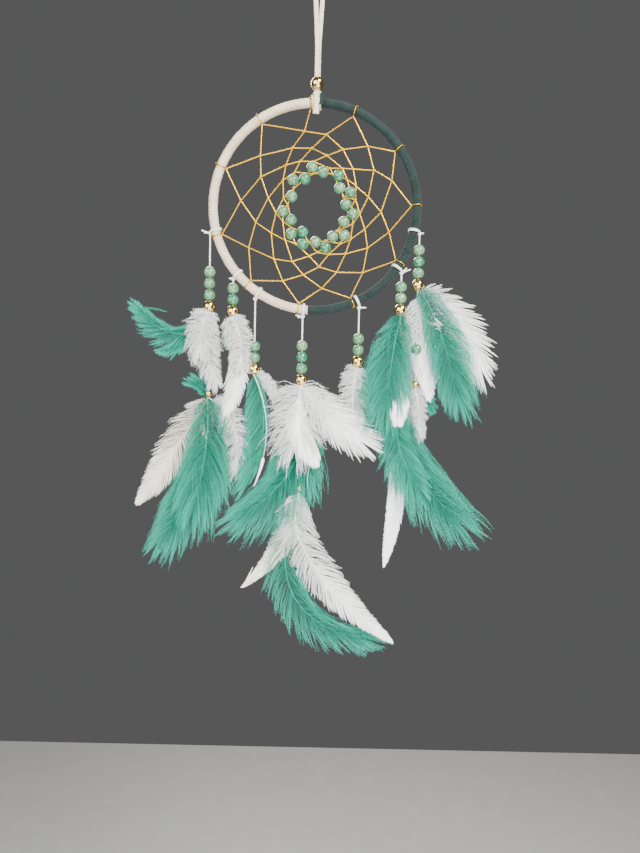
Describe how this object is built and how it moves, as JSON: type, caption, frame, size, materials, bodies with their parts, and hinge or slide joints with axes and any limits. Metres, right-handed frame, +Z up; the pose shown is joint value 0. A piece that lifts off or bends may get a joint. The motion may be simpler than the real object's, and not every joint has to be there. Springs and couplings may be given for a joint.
{
  "type": "dream catcher",
  "caption": "Hanging dream catcher: lace-wrapped ring with a knotted gold thread web and ring of green stones, and beaded thread pendants with green and white feathers.",
  "frame": {"origin": "axis of the hook under the folded top of the hanging lace", "axes": "+Z up, +X to the right seen from the front, +Y towards the wall; the ring's plane is y = 0"},
  "size_m": [0.2537, 0.0197, 0.4718],
  "materials": {
    "cream_suede": "flat suede lace, cream",
    "green_suede": "flat suede lace, dark grey-green",
    "steel_wire": "plain steel wire, hidden under the wraps",
    "gold": "polished gold-coloured bead",
    "gold_thread": "twisted metallic thread",
    "aventurine": "polished green stone",
    "waxed_thread": "white waxed thread",
    "green_feather": "dyed fluffy feather",
    "white_feather": "white feather",
    "cream_feather": "cream feather"
  },
  "bodies": {
    "lace": {"hanging_lace": "cream_suede"},
    "slider": {"slider_bead": "gold"},
    "hitch": {"lace_hitch": "cream_suede"},
    "ring": {"ring_wire": "steel_wire", "cream_wrap": "cream_suede", "green_wrap": "green_suede", "web_thread": "gold_thread", "web_stones": "aventurine"},
    "pendant_1": {"thread_1": "waxed_thread", "stones_1": "aventurine", "gold_bead_1": "gold", "green_feathers_1_upper": "green_feather", "white_feathers_1_upper": "white_feather"},
    "lower_tier_1": {"lower_thread_1": "waxed_thread", "crimp_bead_1": "gold", "green_feathers_1_lower": "green_feather", "white_feathers_1_lower": "white_feather"},
    "pendant_2": {"thread_2": "waxed_thread", "stones_2": "aventurine", "gold_bead_2": "gold", "white_feathers_2_upper": "white_feather", "green_feathers_2_upper": "green_feather"},
    "pendant_3": {"thread_3": "waxed_thread", "stones_3": "aventurine", "gold_bead_3": "gold", "green_feathers_3_upper": "green_feather", "white_feathers_3_upper": "white_feather"},
    "pendant_4": {"thread_4": "waxed_thread", "stones_4": "aventurine", "gold_bead_4": "gold", "white_feathers_4_upper": "white_feather", "green_feathers_4_upper": "green_feather"},
    "lower_tier_4": {"lower_thread_4": "waxed_thread", "crimp_bead_4": "gold", "white_feathers_4_lower": "white_feather", "green_feathers_4_lower": "green_feather", "cream_feathers_4_lower": "cream_feather"},
    "pendant_5": {"thread_5": "waxed_thread", "stones_5": "aventurine", "gold_bead_5": "gold", "white_feathers_5_upper": "white_feather"},
    "pendant_6": {"thread_6": "waxed_thread", "stones_6": "aventurine", "gold_bead_6": "gold", "green_feathers_6_upper": "green_feather", "white_feathers_6_upper": "white_feather"},
    "lower_tier_6": {"lower_thread_6": "waxed_thread", "crimp_bead_6": "gold", "green_feathers_6_lower": "green_feather", "white_feathers_6_lower": "white_feather"},
    "pendant_7": {"thread_7": "waxed_thread", "stones_7": "aventurine", "gold_bead_7": "gold", "green_feathers_7_upper": "green_feather", "white_feathers_7_upper": "white_feather"},
    "lower_tier_7": {"lower_thread_7": "waxed_thread", "crimp_bead_7": "gold", "lower_stone_7": "aventurine", "white_feathers_7_lower": "white_feather", "green_feathers_7_lower": "green_feather"}
  },
  "joints": [
    {"name": "slider_bead_slide", "type": "slide", "parent": "lace", "child": "slider", "axis": [0, 0, 1], "range_m": [0, 0.018]},
    {"name": "lace_twist", "type": "hinge", "parent": "lace", "child": "hitch", "pos_m": [0, 0, -0.08365], "axis": [0, 0, 1], "range_deg": [-60, 60]},
    {"name": "ring_tilt", "type": "hinge", "parent": "hitch", "child": "ring", "pos_m": [0, 0, -0.0915], "axis": [1, 0, 0], "range_deg": [-10, 10]},
    {"name": "pendant_1_swing", "type": "hinge", "parent": "ring", "child": "pendant_1", "pos_m": [-0.07025, 0, -0.17657], "axis": [1, 0, 0], "range_deg": [-10, 10]},
    {"name": "lower_tier_1_swing", "type": "hinge", "parent": "pendant_1", "child": "lower_tier_1", "pos_m": [-0.07025, 0, -0.23112], "axis": [1, 0, 0], "range_deg": [-3, 8]},
    {"name": "pendant_2_swing", "type": "hinge", "parent": "ring", "child": "pendant_2", "pos_m": [-0.05431, 0, -0.2053], "axis": [1, 0, 0], "range_deg": [-10, 10]},
    {"name": "pendant_3_swing", "type": "hinge", "parent": "ring", "child": "pendant_3", "pos_m": [-0.03922, 0, -0.21758], "axis": [1, 0, 0], "range_deg": [-10, 10]},
    {"name": "pendant_4_swing", "type": "hinge", "parent": "ring", "child": "pendant_4", "pos_m": [-0.00694, 0, -0.22818], "axis": [1, 0, 0], "range_deg": [-10, 10]},
    {"name": "lower_tier_4_swing", "type": "hinge", "parent": "pendant_4", "child": "lower_tier_4", "pos_m": [-0.00694, 0, -0.27937], "axis": [1, 0, 0], "range_deg": [-3, 8]},
    {"name": "pendant_5_swing", "type": "hinge", "parent": "ring", "child": "pendant_5", "pos_m": [0.03128, 0, -0.22178], "axis": [1, 0, 0], "range_deg": [-10, 10]},
    {"name": "pendant_6_swing", "type": "hinge", "parent": "ring", "child": "pendant_6", "pos_m": [0.05938, 0, -0.19919], "axis": [1, 0, 0], "range_deg": [-10, 10]},
    {"name": "lower_tier_6_swing", "type": "hinge", "parent": "pendant_6", "child": "lower_tier_6", "pos_m": [0.05938, 0, -0.23062], "axis": [1, 0, 0], "range_deg": [-3, 8]},
    {"name": "pendant_7_swing", "type": "hinge", "parent": "ring", "child": "pendant_7", "pos_m": [0.07079, 0, -0.17436], "axis": [1, 0, 0], "range_deg": [-10, 10]},
    {"name": "lower_tier_7_swing", "type": "hinge", "parent": "pendant_7", "child": "lower_tier_7", "pos_m": [0.07079, 0, -0.21368], "axis": [1, 0, 0], "range_deg": [-3, 8]}
  ]
}
